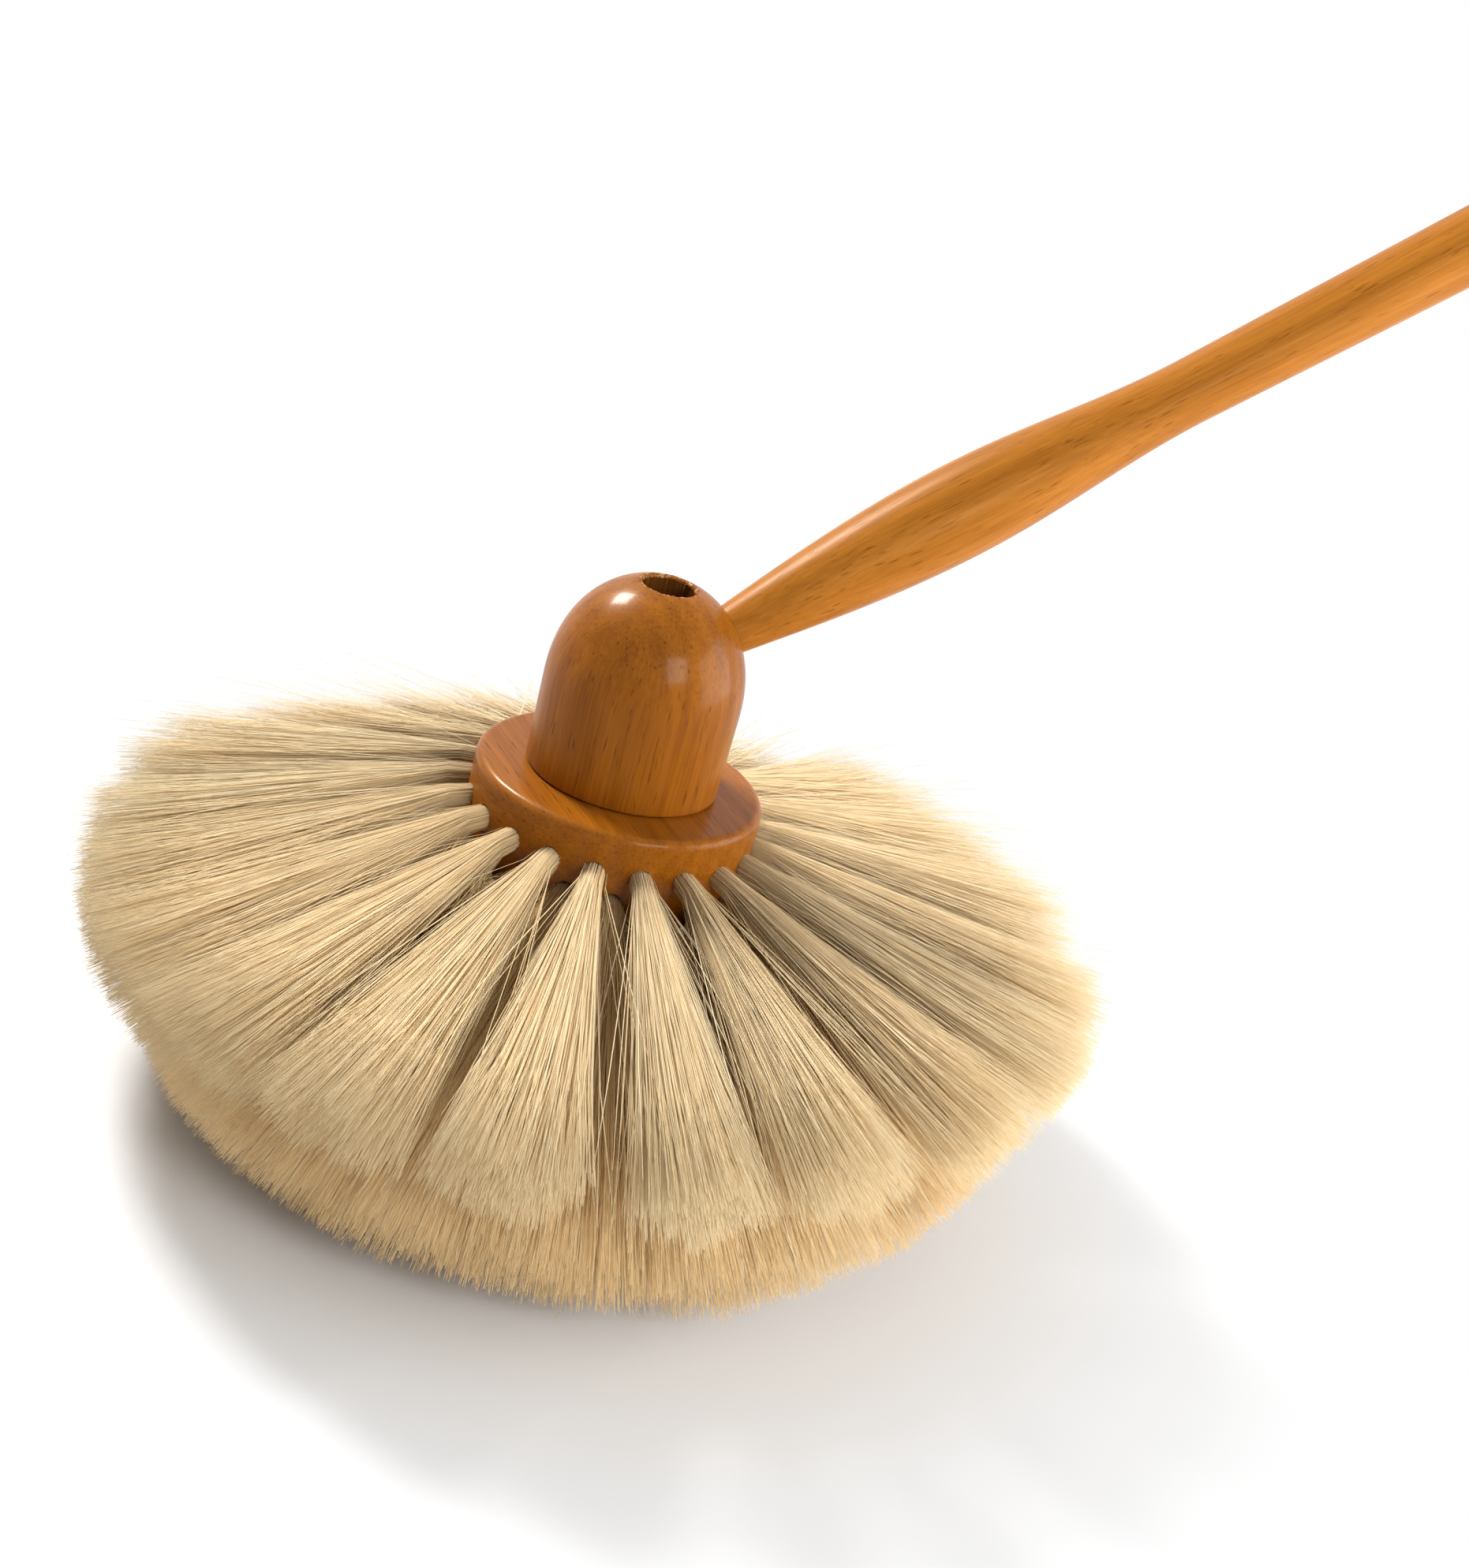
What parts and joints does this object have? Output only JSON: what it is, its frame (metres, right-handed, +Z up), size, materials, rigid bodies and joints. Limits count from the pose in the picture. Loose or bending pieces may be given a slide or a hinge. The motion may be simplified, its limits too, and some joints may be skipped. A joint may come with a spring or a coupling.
{
  "type": "goat hair duster",
  "caption": "Turned beech head with a skirt of goat hair tufts round its collar and a slanted push-in handle; a socket in the crown takes the handle upright.",
  "frame": {"origin": "centre of the flat underside of the head's base cover", "axes": "+Z up the head's turning axis, out of the crown socket; the handle leans out towards +X"},
  "size_m": [0.4975, 0.2837, 0.3659],
  "materials": {
    "handle_beech": "beech stained light orange, satin lacquer",
    "head_beech": "beech stained honey brown, glossy lacquer",
    "plain_beech": "plain sanded beech",
    "goat_hair": "natural blond goat hair",
    "brass": "plain brass"
  },
  "bodies": {
    "head": {"socket_knob": "head_beech", "collar": "head_beech", "base_cover": "plain_beech", "upper_tuft_row": "goat_hair", "lower_tuft_row": "goat_hair", "upper_draw_wire": "brass", "lower_draw_wire": "brass", "cover_screw_1": "brass", "cover_screw_2": "brass", "cover_screw_3": "brass"},
    "handle": {"handle": "handle_beech"}
  },
  "joints": [
    {"name": "handle_pull", "type": "slide", "parent": "head", "child": "handle", "axis": [0.8348, 0, 0.5505], "range_m": [0, 0.02]}
  ]
}
